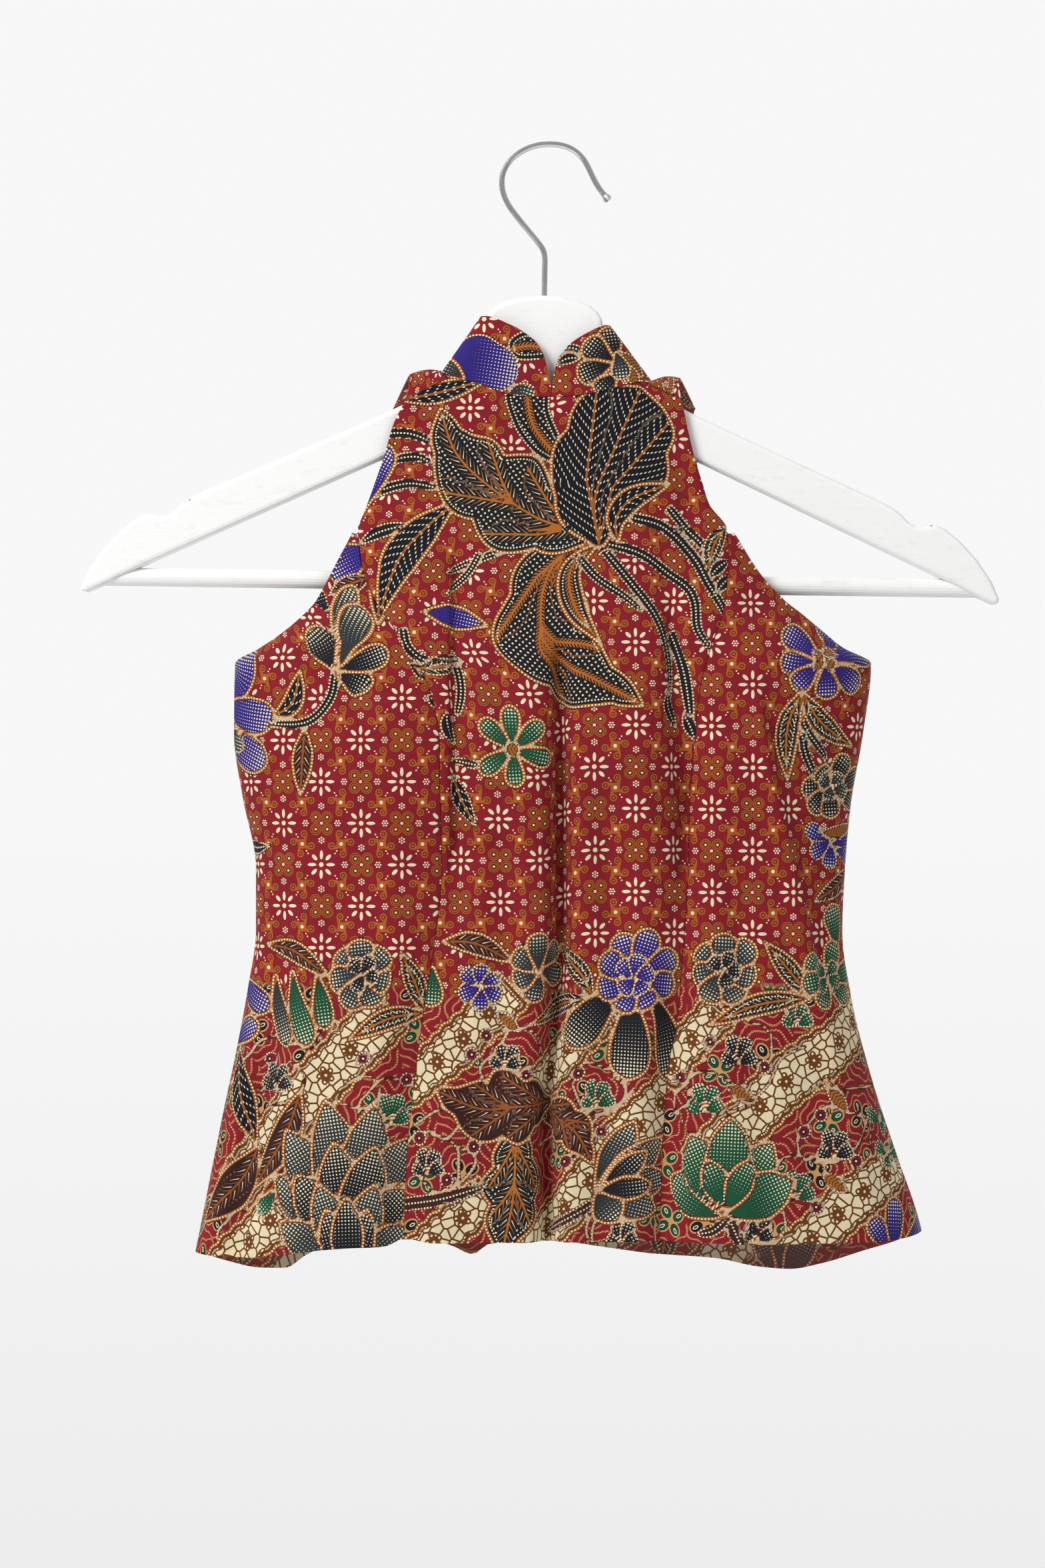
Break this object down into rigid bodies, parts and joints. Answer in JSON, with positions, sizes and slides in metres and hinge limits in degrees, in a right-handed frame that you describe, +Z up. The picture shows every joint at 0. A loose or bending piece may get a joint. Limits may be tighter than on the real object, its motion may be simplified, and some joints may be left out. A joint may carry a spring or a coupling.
{
  "type": "halter top on a clothes hanger",
  "caption": "Sleeveless halter top with a stand collar and princess seams, hanging open-hemmed on a flat wooden clothes hanger with a bar and a steel hook.",
  "frame": {"origin": "the lowest point of the inside of the hook's bend, where a rail carries the hanger", "axes": "+Z up, the front of the top faces -Y, and +X is to the right in a view of the front"},
  "size_m": [0.4383, 0.0702, 0.5402],
  "materials": {
    "batik_cotton": "matt printed cotton",
    "white_lacquered_wood": "satin white lacquer",
    "plated_steel": "bright zinc plate"
  },
  "bodies": {
    "root": {"front_middle": "batik_cotton", "front_side_left": "batik_cotton", "front_side_right": "batik_cotton", "back_left": "batik_cotton", "back_right": "batik_cotton", "collar_left": "batik_cotton", "collar_right": "batik_cotton", "hanger_wood": "white_lacquered_wood", "hanger_bar": "white_lacquered_wood", "hanger_hook": "plated_steel"}
  },
  "joints": []
}
